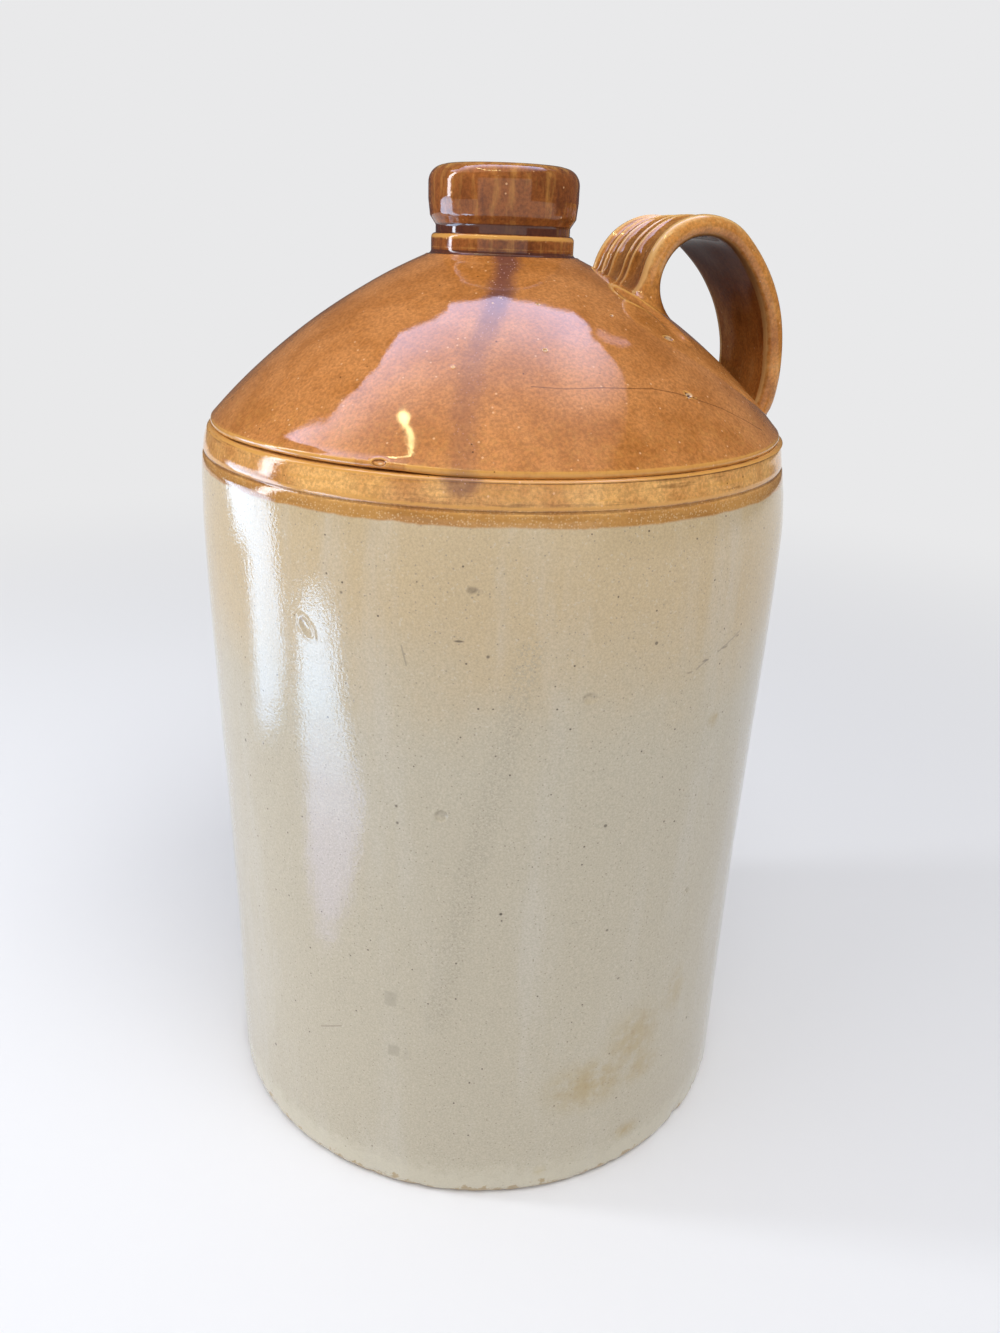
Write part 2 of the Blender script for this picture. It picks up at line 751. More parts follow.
@dataclass(frozen=True)
class CreamGlaze:
    """Cream feldspar glaze over the buff body, with an orange-peel skin and fine iron specks.

    Below the shoulder's dip line it is bare of brown. Where the two glazes overlap the edge breaks into honey dots.
    """

    warm: str = "#c1ab86"
    grey: str = "#bab09a"
    pale: str = "#c8c3b8"
    speck: str = "#4d4238"
    dust: str = "#8f8573"
    stain: str = "#ab9565"
    rust: str = "#8d6f4a"
    matt: str = "#a39a86"
    crust: str = "#d0c9b3"
    clay: str = "#a8906a"
    honey: str = "#b98a4e"
    crumb: str = "#d8b98a"
    dark_edge: str = "#93642f"
    roughness: float = 0.06
    worn_roughness: float = 0.6
    peel_mm: float = 1.3
    dip_z: float = 305.0
    dip_wave_mm: float = 1.1
    inks: tuple[Mark, ...] = (
        Mark(-112.9, 284.2, 126.4, 1.7, 0.5, 1.6), Mark(-112.0, 282.6, 126.4, 0.9, 0.8),
        Mark(-114.8, 265.6, 126.5, 0.6, 0.8, 4.0), Mark(-93.2, 243.2, 126.5, 1.0, 0.9),
        Mark(-117.3, 195.2, 126.1, 1.3, 0.75), Mark(-106.5, 152.4, 125.7, 0.9, 1.0),
        Mark(-106.3, 149.2, 125.7, 0.6, 0.9), Mark(-69.8, 249.5, 126.5, 0.7, 0.6, 4.0),
        Mark(-64.5, 252.0, 126.5, 0.6, 0.5, 5.0), Mark(-60.5, 254.5, 126.5, 0.6, 0.5, 3.0),
        Mark(-73.5, 246.5, 126.5, 0.6, 0.4, 4.0), Mark(-86.0, 138.0, 125.6, 0.9, 0.7),
        Mark(-66.0, 141.0, 125.6, 1.2, 0.6), Mark(-59.1, 3.6, 125.6, 1.6, 0.6, 2.2))
    stains: tuple[Mark, ...] = (
        Mark(-77.0, 72.3, 125.3, 27.0, 0.8, 0.8), Mark(-86.6, 56.8, 125.4, 20.0, 1.0, 1.5),
        Mark(-74.8, 55.0, 125.4, 13.0, 0.7, 1.3), Mark(-66.0, 88.0, 125.3, 17.0, 0.6, 0.7),
        Mark(-76.8, 19.6, 125.8, 7.0, 0.9, 1.5), Mark(-96.4, 12.0, 125.9, 5.0, 0.8, 1.0),
        Mark(-65.4, 221.4, 126.4, 5.5, 0.6, 1.0), Mark(-64.5, 222.5, 126.4, 2.6, 0.7, 1.0))
    patches: tuple[Mark, ...] = (Mark(-126.7, 104.7, 125.3, 3.9, 1.0, 0.7), Mark(-126.2, 77.4, 125.3, 2.9, 1.0, 0.95),
                                 Mark(-123.6, 76.4, 125.3, 2.3, 0.6, 0.5))
    grainy: tuple[Point2, ...] = ((-103.5, 262.0), (-107.5, 215.0), (-112.5, 165.0), (-118.0, 95.0))
    scratches: tuple[tuple[Point2, ...], ...] = (
        ((-142.8, 75.7), (-137.7, 81.3)), ((-124.0, 262.0), (-123.2, 255.0)), ((-72.0, 247.0), (-69.5, 249.4)),
        ((-66.5, 251.2), (-60.0, 256.0)))

    def base(self, tree: bpy.types.NodeTree, place: Socket, height_z: Socket, peel: Socket) -> Socket:
        """Builds the clear cream glaze with its swells, dust and specks.

        Args:
            tree: the node tree.
            place: the surface point.
            height_z: its height.
            peel: the noise of the orange-peel skin.

        Returns:
            The colour.
        """
        drawn = cloud(tree, place, 30, 4.0, (1.0, 1.0, 0.16))
        uneven = add_node(tree, "Math", {0: cloud(tree, place, 40, 4.0), 1: 60 * MM, 2: height_z},
                          operation="MULTIPLY_ADD")
        tint = add_node(tree, "Mix", {"Factor": level(tree, uneven, 0.315, 0.24), 6: colour(self.warm),
                                      7: colour(self.grey)}, out=2, data_type="RGBA")
        tint = tinted(tree, level(tree, drawn, 0.48, 0.72), tint, self.pale, 0.3)
        grain = level(tree, cloud(tree, place, 0.8, 5.0), 0.3, 0.7, (0.89, 1.09))
        tint = add_node(tree, "VectorMath", {0: tint, "Scale": grain}, operation="SCALE")
        tint = tinted(tree, level(tree, peel, 0.6, 0.72), tint, self.crust, 0.35)
        pores = level(tree, cloud(tree, place, 0.9, 3.0), 0.46, 0.6)
        strip = add_node(tree, "Math", {0: stroke_mask(tree, place, self.grainy, 5.0), 1: pores},
                         operation="MULTIPLY")
        tint = tinted(tree, strip, tint, self.matt, 0.5)
        tint = tinted(tree, dots(tree, place, 1.9, 0.32, 0.42), tint, self.dust, 0.7)
        tint = tinted(tree, dots(tree, place, 5.2, 0.42, 0.34), tint, self.speck, 0.8)
        return tinted(tree, dots(tree, place, 15.0, 0.75, 0.3), tint, self.speck, 0.7)

    def used(self, tree: bpy.types.NodeTree, place: Socket, height_z: Socket, tint: Socket) -> Socket:
        """Lays the marks of kiln, shelf and use over the cream glaze.

        Args:
            tree: the node tree.
            place: the surface point.
            height_z: its height.
            tint: the clean glaze.

        Returns:
            The colour.
        """
        blotch = cloud(tree, place, 7, 4.0)
        soft = add_node(tree, "Math", {0: mark_mask(tree, place, self.stains, 1.0), 1: level(tree, blotch, 0.2, 0.62)},
                        operation="MULTIPLY")
        tint = tinted(tree, soft, tint, self.stain, 0.75)
        deep = add_node(tree, "Math", {0: soft, 1: level(tree, cloud(tree, place, 3.2, 3.0), 0.55, 0.68)},
                        operation="MULTIPLY")
        tint = tinted(tree, deep, tint, self.rust, 0.35)
        tint = tinted(tree, mark_mask(tree, place, self.patches, 0.12, True), tint, self.matt, 0.55)
        tint = tinted(tree, mark_mask(tree, place, self.inks, 0.6), tint, self.speck, 0.9)
        for scratch in self.scratches:
            tint = tinted(tree, stroke_mask(tree, place, scratch, 0.3), tint, self.dust, 0.6)
        ragged = add_node(tree, "Math", {0: cloud(tree, place, 5, 4.0), 1: -22 * MM, 2: height_z},
                          operation="MULTIPLY_ADD")
        tint = tinted(tree, level(tree, ragged, 12 * MM, -4 * MM), tint, self.crust, 0.55)
        bare = level(tree, ragged, -6.5 * MM, -8.5 * MM)
        return tinted(tree, bare, tint, self.clay, 0.8)

    def material(self, name: str, brown: BrownGlaze) -> bpy.types.Material:
        """Builds the barrel's two glazes as one material.

        Args:
            name: the material's name.
            brown: the glaze above the dip line.

        Returns:
            The material.
        """
        made, tree, place = start_material(name)
        relief = add_node(tree, "Attribute", out="Fac", attribute_name="relief")
        height_z = add_node(tree, "SeparateXYZ", {0: place}, out="Z")
        peel = cloud(tree, place, self.peel_mm, 2.0)
        cream = self.used(tree, place, height_z, self.base(tree, place, height_z, peel))
        brown_tint, brown_height = brown.layers(tree, place, relief)
        wave = add_node(tree, "Math", {0: cloud(tree, place, 16, 3.0), 1: 2 * self.dip_wave_mm * MM, 2: height_z},
                        operation="MULTIPLY_ADD")
        dip = (self.dip_z + self.dip_wave_mm) * MM
        over = level(tree, wave, dip - 0.3 * MM, dip + 0.7 * MM)
        broken = add_node(tree, "Math", {0: level(tree, wave, dip - 1.5 * MM, dip + 1.5 * MM),
                                         1: level(tree, wave, dip + 7 * MM, dip + 2 * MM)}, operation="MULTIPLY")
        crumbs = add_node(tree, "Math", {0: broken, 1: dots(tree, place, 0.9, 0.32, 0.7)}, operation="MULTIPLY")
        low = (self.dip_z + 5) * MM
        edge_brown = tinted(tree, level(tree, height_z, low, low - 1.5 * MM), brown_tint, self.dark_edge, 0.55)
        edge_brown = tinted(tree, broken, edge_brown, self.honey, 0.3)
        edge_brown = tinted(tree, crumbs, edge_brown, self.crumb, 0.5)
        tint = add_node(tree, "Mix", {"Factor": over, 6: cream, 7: edge_brown}, out=2, data_type="RGBA")
        height = add_node(tree, "Mix", {"Factor": over, 2: peel, 3: brown_height}, data_type="FLOAT")
        rippled = add_node(tree, "Math", {0: cloud(tree, place, 7.0, 2.0, (1.0, 1.0, 0.4)), 1: 1.2, 2: height},
                           operation="MULTIPLY_ADD")
        firm = level(tree, over, 0.0, 1.0, (0.52, 0.22))
        bump = add_node(tree, "Bump", {"Strength": firm, "Distance": 0.16 * MM, "Height": rippled})
        dull = add_node(tree, "Math", {0: mark_mask(tree, place, self.patches, 0.12, True),
                                       1: level(tree, height_z, 0.006, 0.001)}, operation="MAXIMUM")
        gloss = level(tree, over, 0.0, 1.0, (self.roughness, brown.roughness))
        rough = add_node(tree, "Mix", {"Factor": dull, 2: gloss, 3: self.worn_roughness}, data_type="FLOAT")
        fill_inputs(tree.nodes["Principled BSDF"], {"Base Color": tint, "Normal": bump, "Roughness": rough})
        return made


@dataclass(frozen=True)
class BareClay:
    """Unglazed buff stoneware: wiped clean before the firing, gritty and matt."""

    buff: str = "#c0a67e"
    toast: str = "#9a7f5c"
    grit: str = "#5c4a38"
    roughness: float = 0.85
    grit_mm: float = 1.6

    def material(self, name: str) -> bpy.types.Material:
        """Builds the bare clay as a material.

        Args:
            name: the material's name.

        Returns:
            The material.
        """
        made, tree, place = start_material(name)
        grit = cloud(tree, place, self.grit_mm)
        tint = add_node(tree, "Mix", {"Factor": cloud(tree, place, 30, 4.0), 6: colour(self.buff),
                                      7: colour(self.toast)}, out=2, data_type="RGBA")
        tint = tinted(tree, level(tree, grit, 0.66, 0.74), tint, self.grit, 0.7)
        bump = add_node(tree, "Bump", {"Strength": 0.5, "Distance": 0.2 * MM, "Height": grit})
        fill_inputs(tree.nodes["Principled BSDF"], {"Base Color": tint, "Normal": bump, "Roughness": self.roughness})
        return made


# The pieces

# The seam has sagged to this side, in degrees from the handle: by LEAN at the band and by less above the seam.
LEFT_OF_CAMERA = 145.0
LEAN, LEAN_ABOVE = 1.0, 0.35
LEAN_FROM, BAND_FOOT, SEAM_TOP, LEAN_TO = 285.0, 314.0, 323.0, 352.0
# Heights: up to which the foot crumbles, from which the band is pressed, and up to which the shoulder's edge is.
CRUMBLED_FOOT, PRESSED_BAND, PRESSED_EDGE = 9.0, 313.0, 326.0
# The seam gapes by up to GAPE between these angles, which are counted from the handle.
GAPE, GAPE_FROM, GAPE_TO = 0.9, 186.0, 246.0
# It opens and closes over these angles, and this share of it goes all round.
GAPE_OPENS, GAPE_CLOSES, GAPE_LEAST = 24.0, 14.0, 0.15

# Places on the jug, by degrees round the axis from the handle, radius and height. Each pit adds its half width,
# depth, stretch and slant.
SEAM_PITS = (Pit(on_jug(-128.6, 119.9, 322.9), 1.7, 0.6, 1.6, 0.0),)
SHOULDER_PITS = (Pit(on_jug(-53.9, 78.0, 360.3), 1.25, 0.7, 2.2, -14.0),
                 Pit(on_jug(-65.4, 98.8, 342.2), 1.25, 0.7, 2.0, -40.0),
                 Pit(on_jug(-120.1, 88.7, 351.4), 0.7, 0.35), Pit(on_jug(-98.6, 81.4, 357.7), 0.7, 0.35),
                 Pit(on_jug(-71.0, 66.0, 368.4), 0.6, 0.3), Pit(on_jug(-97.0, 60.5, 371.7), 0.6, 0.3))
BARREL_PITS = (Pit(on_jug(-117.3, 126.2, 195.5), 2.2, 1.0, 1.1, 30.0), Pit(on_jug(-93.2, 126.5, 243.4), 2.0, 0.8, 1.4),
               Pit(on_jug(-112.0, 126.5, 283.0), 1.6, 0.4, 1.3), Pit(on_jug(-66.0, 125.5, 141.0), 1.4, 0.5),
               Pit(on_jug(-141.5, 126.5, 262.0), 2.2, 0.6, 1.8, -50.0))
# The pale rims and dark floors of the pits in the brown glaze.
PIT_RIMS = (Mark(-53.9, 360.3, 78.0, 1.7, 0.75, 1.7), Mark(-65.4, 342.2, 98.8, 1.7, 0.75, 1.7),
            Mark(-120.1, 351.4, 88.7, 0.8, 0.75, 1.7), Mark(-98.6, 357.7, 81.4, 0.8, 0.75, 1.7),
            Mark(-71.0, 368.4, 66.0, 0.7, 0.75, 1.7), Mark(-97.0, 371.7, 60.5, 0.7, 0.75, 1.7),
            Mark(-128.6, 323.2, 119.9, 0.8, 0.75, 1.7))
PIT_HOLLOWS = (Mark(-53.9, 360.2, 78.0, 1.1, 1.0, 1.8), Mark(-65.4, 342.1, 98.8, 1.1, 1.0, 1.6))
# The run of thick glaze down the shoulder, the finger wipe beside the handle and the chip at the foot.
RUN_LINE = (on_jug(-107.4, 31.5, 386.4), on_jug(-107.4, 35.5, 384.6), on_jug(-109.6, 54.7, 375.4),
            on_jug(-112.9, 69.5, 366.2), on_jug(-115.1, 81.8, 357.4), on_jug(-116.0, 91.5, 348.7),
            on_jug(-116.0, 100.7, 340.7), on_jug(-115.5, 112.9, 331.5), on_jug(-115.2, 119.9, 321.4))
WIPE_LINE = (on_jug(-47.5, 55.5, 374.8), on_jug(-42.5, 61.0, 371.8), on_jug(-41.5, 68.5, 366.9),
             on_jug(-45.0, 78.5, 360.0))
WIPE_HALF_W = 6.2
FOOT_CHIP = on_jug(-59.1, 125.0, 3.0)

# The crazed hairline, by degrees round the axis and height.
CRACK = ((-103.0, 347.0), (-96.0, 346.4), (-87.7, 346.7), (-75.3, 345.8), (-69.9, 344.2), (-65.4, 342.2),
         (-57.6, 337.8), (-50.5, 332.0), (-46.0, 328.0))


@dataclass
class Vessel:
    """The thrown part of the jug: floor, barrel, shoulder, neck and collar."""

    shape: VesselShape = SHAPE
    segments: int = 420

    def leant(self, place: Vector) -> Vector:
        """Gives the place of a point after the seam has sagged a little to the left of the camera."""
        if not LEAN_FROM < place.z < LEAN_TO:
            return place
        if place.z < BAND_FOOT:
            shift = LEAN * smooth_step((place.z - LEAN_FROM) / 28)
        elif place.z < SEAM_TOP:
            shift = LEAN_ABOVE + (LEAN - LEAN_ABOVE) * smooth_step((SEAM_TOP - place.z) / (SEAM_TOP - BAND_FOOT))
        else:
            shift = LEAN_ABOVE * smooth_step((LEAN_TO - place.z) / (LEAN_TO - SEAM_TOP))
        turn = math.radians(LEFT_OF_CAMERA)
        return place + Vector((math.cos(turn), math.sin(turn), 0)) * shift

    def gape(self, place: Vector) -> float:
        """Gives how far the seam gapes at a place: most on the camera's left, pinched shut under the glaze run."""
        angle = (math.degrees(math.atan2(place.y, place.x)) + 360) % 360
        wide = smooth_step((angle - GAPE_FROM) / GAPE_OPENS) * smooth_step((GAPE_TO - angle) / GAPE_CLOSES)
        return GAPE_LEAST + (1 - GAPE_LEAST) * wide

    def floor_disc(self, clay: BareClay) -> bpy.types.Object:
        """Builds the floor, with its rounded inner corner.

        Args:
            clay: the finish of its underside.

        Returns:
            The floor.
        """
        s = self.shape
        edge = s.foot_r - s.wall_t
        rise = arc((edge - s.inner_round, s.floor_t + s.inner_round), s.inner_round, 0, -90, 8)
        profile = spaced([(0.0, 0.0), (edge - 0.02, 0.0), *rise, (0.0, s.floor_t)], 12)
        piece = turned("base_disc", profile, 128)
        piece.data.materials.append(clay.material("bare_stoneware"))
        smoothed(piece, 35)
        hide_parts("floor_disc")
        return piece

    def barrel(self, cream: CreamGlaze, brown: BrownGlaze) -> bpy.types.Object:
        """Builds the barrel's wall, with its foot, fine line and band.

        Args:
            cream: the glaze of the barrel.
            brown: the glaze over its band.

        Returns:
            The barrel.
        """
        s = self.shape
        inner = s.foot_r - s.wall_t
        line_z = s.seam_h - s.line_drop
        foot = arc((s.foot_r - s.foot_round, s.foot_round), s.foot_round, -90, 0, 12)
        rise = (line_z - s.line_half_w - s.foot_round) / 84
        wall = [(s.barrel_outside(s.foot_round + rise * i), s.foot_round + rise * i) for i in range(1, 85)]
        notch = [(s.barrel_outside(line_z) - s.line_depth * k, line_z + s.line_half_w * u)
                 for u, k in ((-0.5, 0.5), (0.0, 0.8), (0.5, 0.5))]
        span = s.band_top - line_z - s.line_half_w
        over = [(s.barrel_outside(z), z) for z in (line_z + s.line_half_w + span * i / 6 for i in range(6))]
        band = arc(s.band, s.band_round, s.lean, 90, 8)
        inner_r = s.shoulder_arc_r - s.wall_t
        seat = s.arc_centre[0] + math.sqrt(inner_r ** 2 - (s.seam_h - s.arc_centre[1]) ** 2)
        top = spaced([band[-1], (s.seam_r - 1.2, s.seam_h), (s.seam_r - 4, s.seam_h), (seat, s.seam_h)], 3)
        inside = spaced([top[-1], (s.inner_r, s.seam_h - 3 * s.wall_t),
                         (inner, s.floor_t + s.inner_round), (inner, 0.0)], 12)
        profile = [(inner, 0.0), *foot, *wall, *notch, *over, *band, *top[1:], *inside[1:-1]]
        piece = turned("barrel_skin", profile, self.segments)
        for pit in BARREL_PITS:
            refine(piece, pit.place, 3.4 * pit.size * pit.stretch, 5)
        moved(piece, self.barrel_press)
        smoothed(piece, SHARP_ANGLE)
        mark_relief(piece, 0.2, 1)
        store_by(piece, "run", lambda at: 0.75 * smooth_step(2.2 - line_gap(at, RUN_LINE[-2:]) / 4.2))
        piece.data.materials.append(cream.material("cream_and_brown_glaze", brown))
        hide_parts("barrel_wall")
        return piece

    def barrel_press(self, place: Vector) -> Vector:
        """Gives the place of a point of the barrel after the potter's hands and the kiln."""
        radius = math.hypot(place.x, place.y)
        if radius < self.shape.foot_r - self.shape.wall_t / 2 or place.z < 0.2:
            return place
        inward = 0.2 - throwing_wobble(place, 46, 0.2) - throwing_wobble(Vector((0, 0, place.z)), 9, 0.1)
        if place.z < CRUMBLED_FOOT:
            crumbled = max(noise.noise(place / 5.5) + 0.5 * noise.noise(place / 2.1), -0.1)
            inward = 0.3 + 0.9 * crumbled * smooth_step((CRUMBLED_FOOT - place.z) / 6)
            inward += 1.6 * max(1 - (place - FOOT_CHIP).length / 5, 0)
        inward += sum(pit.push(place) for pit in BARREL_PITS)
        fresh = Vector((place.x * (1 - inward / radius), place.y * (1 - inward / radius), place.z))
        if place.z > PRESSED_BAND:
            ripple = 0.5 * noise.noise(Vector((place.x / 30, place.y / 30, place.z / 2.5)))
            near_top = smooth_step((place.z - PRESSED_BAND) / 5)
            fresh.z -= near_top * (GAPE * self.gape(place) + 0.2 * ripple)
        return self.leant(fresh)

    def shoulder(self, brown: BrownGlaze) -> bpy.types.Object:
        """Builds the shoulder.

        Args:
            brown: its glaze.

        Returns:
            The shoulder.
        """
        s = self.shape
        end, foot = s.corner_end, (s.neck_foot_r, s.neck_z)
        start_angle = -math.degrees(math.asin(s.corner_rise / s.corner_round))
        end_angle = math.degrees(math.atan2(end[1] - s.corner[1], end[0] - s.corner[0]))
        corner = arc(s.corner, s.corner_round, start_angle, end_angle, 10)
        outer = arc(s.arc_centre, s.shoulder_arc_r, s.angle_on_arc(end), s.angle_on_arc(foot), 92)
        inner_r = s.shoulder_arc_r - s.wall_t
        mouth_z = s.arc_centre[1] + math.sqrt(inner_r ** 2 - (s.mouth_r - s.arc_centre[0]) ** 2)
        seat_r = s.arc_centre[0] + math.sqrt(inner_r ** 2 - (s.seam_h - s.arc_centre[1]) ** 2)
        inner = arc(s.arc_centre, inner_r, s.angle_on_arc((s.mouth_r, mouth_z)),
                    s.angle_on_arc((seat_r, s.seam_h)), 24)
        profile = [*corner, *outer[1:], *spaced([foot, (s.mouth_r, s.neck_z), inner[0]], 5)[1:], *inner[1:]]
        piece = turned("shoulder_skin", profile, self.segments)
        for pit in (*SHOULDER_PITS, *SEAM_PITS):
            refine(piece, pit.place, 3.2 * pit.size * pit.stretch, 4)
        moved(piece, self.shoulder_press)
        smoothed(piece, SHARP_ANGLE)
        mark_relief(piece, 0.45, 0)
        add_relief(piece, self.shoulder_thin)
        store_by(piece, "run", self.run_share)
        piece.data.materials.append(brown.material("brown_glaze_shoulder"))
        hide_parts("shoulder_dome")
        return piece

    def shoulder_thin(self, place: Vector) -> float:
        """Gives how thin the glaze is near the shoulder's edge and round the finger wipe, and how deep in the wipe."""
        edge = 0.2 * smooth_step((352 - place.z) / 22)
        gap = self.wipe_gap(place)
        wiped = 0.7 * math.exp(-((gap - 1.1) / 0.25) ** 2) - 0.3 * smooth_step(1.6 - 2 * gap)
        return edge + smooth_step((place.z - 364) / 9) * wiped

    def wipe_gap(self, place: Vector) -> float:
        """Gives how far a place is from the middle of the finger wipe beside the handle, in half its widths."""
        if place.x < 25 or place.y > -10:
            return 9.0
        return line_gap(place, WIPE_LINE) / WIPE_HALF_W

    def run_share(self, place: Vector) -> float:
        """Gives how dark the run of thick glaze down the shoulder is at a place."""
        if not -135 < math.degrees(math.atan2(place.y, place.x)) < -85:
            return 0.0
        gap = line_gap(place, RUN_LINE) + 1.6 * noise.noise(place / 9)
        fade = 0.4 + 0.6 * smooth_step((place.z - 355) / 20)
        return fade * smooth_step((7.0 - gap) / 5.5)

    def shoulder_press(self, place: Vector) -> Vector:
        """Gives the place of a point of the shoulder after the potter's hands and the kiln."""
        s = self.shape
        radius = math.hypot(place.x, place.y)
        if radius < s.outside(max(place.z, s.seam_h)) - 2.5 or radius < s.neck_foot_r + 1:
            return place
        slope = math.radians(s.angle_on_arc((radius, place.z)))
        out = Vector((place.x / radius * math.cos(slope), place.y / radius * math.cos(slope), math.sin(slope)))
        inward = 0.12 - throwing_wobble(place, 34, 0.14) - throwing_wobble(place, 11, 0.05)
        gap = self.wipe_gap(place)
        inward += 1.6 * max(1 - gap ** 2, 0.0) ** 1.5 - 0.4 * math.exp(-((gap - 1.15) / 0.22) ** 2)
        inward += sum(pit.push(place) for pit in (*SHOULDER_PITS, *SEAM_PITS))
        fresh = place - out * max(inward, -0.02)
        if place.z < PRESSED_EDGE:
            fresh.z += GAPE * self.gape(place) * smooth_step((PRESSED_EDGE - place.z) / 5)
        return self.leant(fresh)

    def neck(self, brown: BrownGlaze) -> bpy.types.Object:
        """Builds the neck with its flat bead.

        Args:
            brown: its glaze.

        Returns:
            The neck.
        """
        s = self.shape
        groove_h = (s.collar_z - s.neck_z - s.neck_foot_round - s.bead_round) / 4
        foot = arc((s.bead_r + s.neck_foot_round, s.neck_z + s.neck_foot_round), s.neck_foot_round, -90, -180, 6)
        bead = arc((s.bead_r - s.bead_round, s.collar_z - groove_h - s.bead_round), s.bead_round, 0, 90, 8)
        profile = spaced([(s.mouth_r, s.neck_z), *foot, *bead, (s.neck_groove_r, s.collar_z - groove_h),
                          (s.neck_groove_r, s.collar_z), (s.mouth_r, s.collar_z)], 1.0)
        piece = turned("neck_bead", profile, self.segments)
        moved(piece, self.collar_press)
        smoothed(piece, SHARP_ANGLE)
        mark_relief(piece, 0.35, 2)
        bead_top = s.collar_z - groove_h
        add_relief(piece, lambda at: 0.6 * math.exp(-((at.z - bead_top + 1.2) / 0.6) ** 2)
                   + 0.4 * math.exp(-((at.z - s.neck_z - 2.2) / 0.5) ** 2)
                   - 1.2 * smooth_step((s.neck_z + 1.7 - at.z) / 0.6)
                   - 1.2 * smooth_step((at.z - bead_top + 0.5) / 0.4))
        piece.data.materials.append(brown.material("brown_glaze_neck"))
        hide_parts("neck_ring")
        return piece

    def collar_press(self, place: Vector) -> Vector:
        """Gives the place of a point of neck or collar after the potter's hands."""
        radius = math.hypot(place.x, place.y)
        if radius < self.shape.neck_groove_r - 3:
            return place
        inward = 0.1 - throwing_wobble(place, 16, 0.12)
        fresh = Vector((place.x * (1 - inward / radius), place.y * (1 - inward / radius), place.z))
        if place.z > self.shape.lip_z - self.shape.lip_round:
            fresh.z -= 0.16 - throwing_wobble(place, 20, 0.15)
        return fresh

    def collar(self, brown: BrownGlaze) -> bpy.types.Object:
        """Builds the thick rolled collar round the mouth.

        Args:
            brown: its glaze.

        Returns:
            The collar.
        """
        s = self.shape
        chamfer_z = s.collar_z + s.collar_groove_h + s.collar_chamfer_h
        lip = arc((s.collar_r - s.lip_round, s.lip_z - s.lip_round), s.lip_round, 0, 90, 12)
        mouth = arc((s.mouth_r + s.lip_inner_round, s.lip_z - s.lip_inner_round), s.lip_inner_round, 90, 180, 10)
        profile = spaced([(s.mouth_r, s.collar_z), (s.neck_groove_r, s.collar_z),
                          (s.neck_groove_r, s.collar_z + s.collar_groove_h), (s.collar_r - s.collar_taper, chamfer_z),
                          (s.collar_r, (chamfer_z + s.lip_z - s.lip_round) / 2), *lip, *mouth], 1.0)
        piece = turned("rolled_collar", profile, self.segments)
        moved(piece, self.collar_press)
        smoothed(piece, SHARP_ANGLE)
        mark_relief(piece, 0.35, 2)
        add_relief(piece, self.collar_thin)
        piece.data.materials.append(brown.material("brown_glaze_collar"))
        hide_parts("mouth_collar")
        return piece

    def collar_thin(self, place: Vector) -> float:
        """Gives how thin the glaze has run over the collar's lip and how it pools under the collar."""
        s = self.shape
        runs = noise.noise(Vector((place.x / 6, place.y / 6, place.z / 30)))
        edge_r = math.hypot(place.x, place.y) - s.collar_r
        thin = 0.42 * smooth_step((place.z - s.lip_z + 3.5 + 1.2 * runs) / 5) * smooth_step((edge_r + 14) / 6)
        edge = 0.5 * math.exp(-((place.z - s.collar_z - s.collar_groove_h - 1.0) / 0.7) ** 2)
        low = 0.35 * smooth_step((s.collar_z + 10 - place.z) / 5)
        return thin + edge - low - 1.2 * smooth_step((s.collar_z + s.collar_groove_h + 0.3 - place.z) / 0.5)


@dataclass(frozen=True)
class Turn:
    """One circular turn of the handle's path: its radius in millimetres and its angle in degrees."""

    radius: float
    angle: float

    @property
    def length(self) -> float:
        """Length along the turn."""
        return self.radius * math.radians(self.angle)


